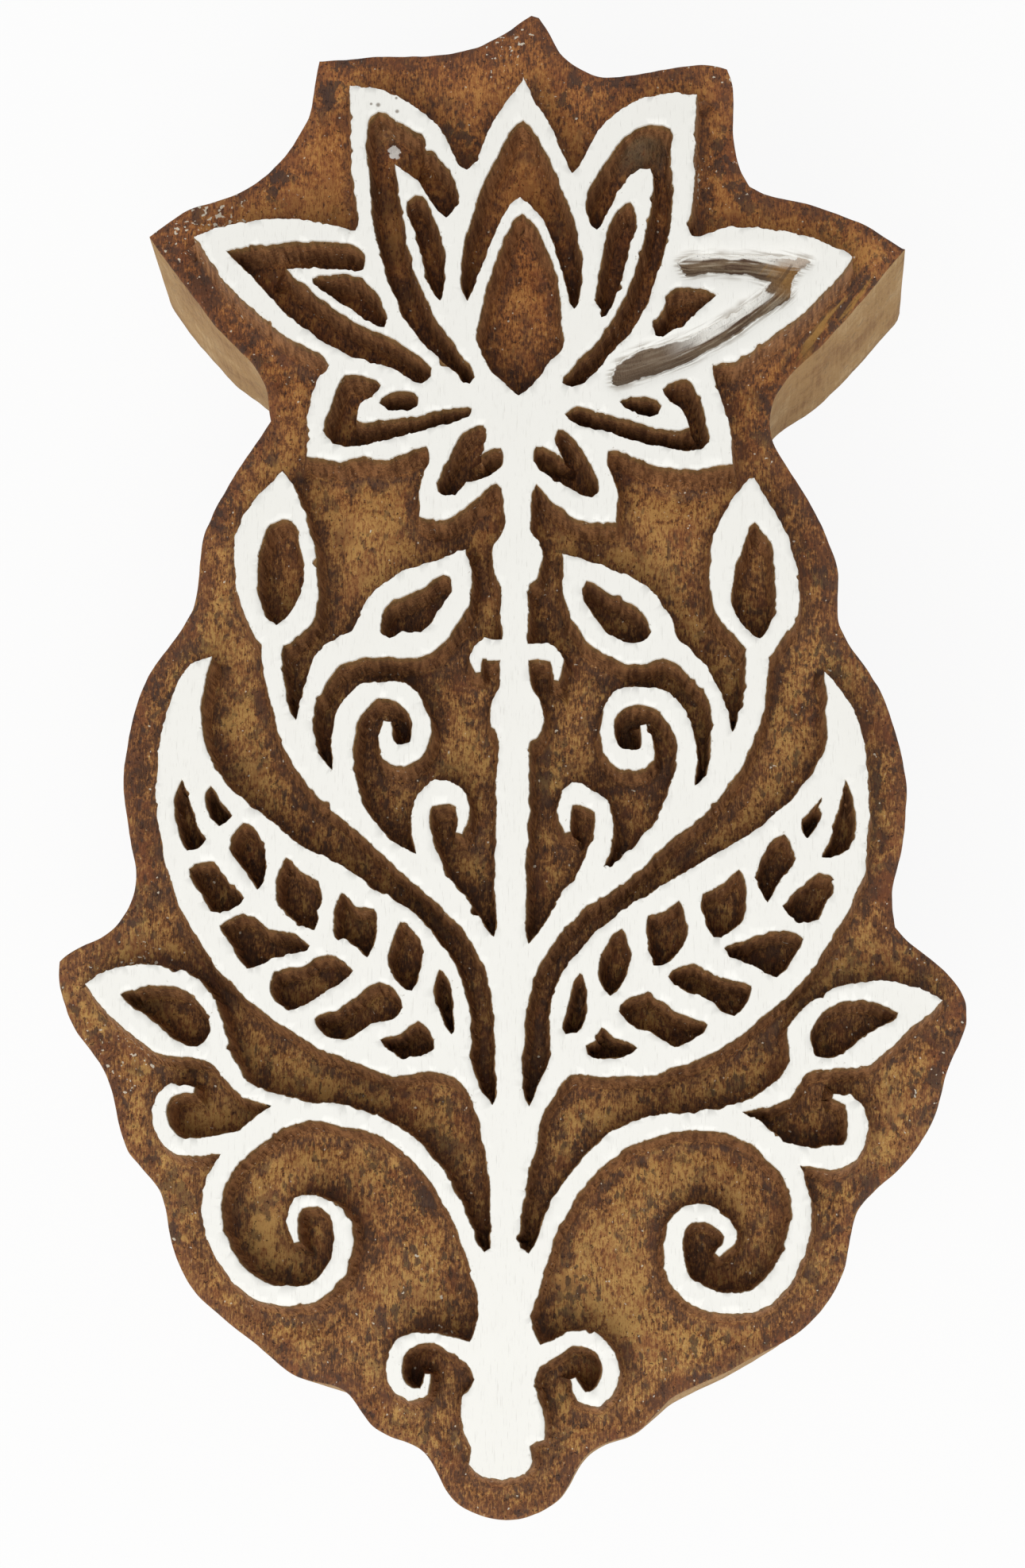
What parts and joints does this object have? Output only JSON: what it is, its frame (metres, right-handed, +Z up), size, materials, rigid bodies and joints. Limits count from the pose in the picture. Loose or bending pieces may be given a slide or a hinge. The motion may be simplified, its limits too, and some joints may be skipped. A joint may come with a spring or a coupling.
{
  "type": "textile printing block",
  "caption": "Shaped wooden block with a lotus plant carved in relief and coated white on its face, and a hand grip screwed to its back; it prints the plant on cloth.",
  "frame": {"origin": "middle of the block's outline, on the resting face of the grip", "axes": "+Z up, out of the printing face; +Y along the stem towards the flower; +X to the right of the plant"},
  "size_m": [0.0874, 0.15, 0.0538],
  "materials": {
    "block_wood": "oiled, stained by use",
    "white_coat": "matte brushed paint",
    "grip_wood": "plain worked wood",
    "screw_steel": "dull bright"
  },
  "bodies": {
    "root": {"carved_block": "block_wood", "white_face_coat": "white_coat", "grip_handle": "grip_wood", "handle_screws": "screw_steel"}
  },
  "joints": []
}
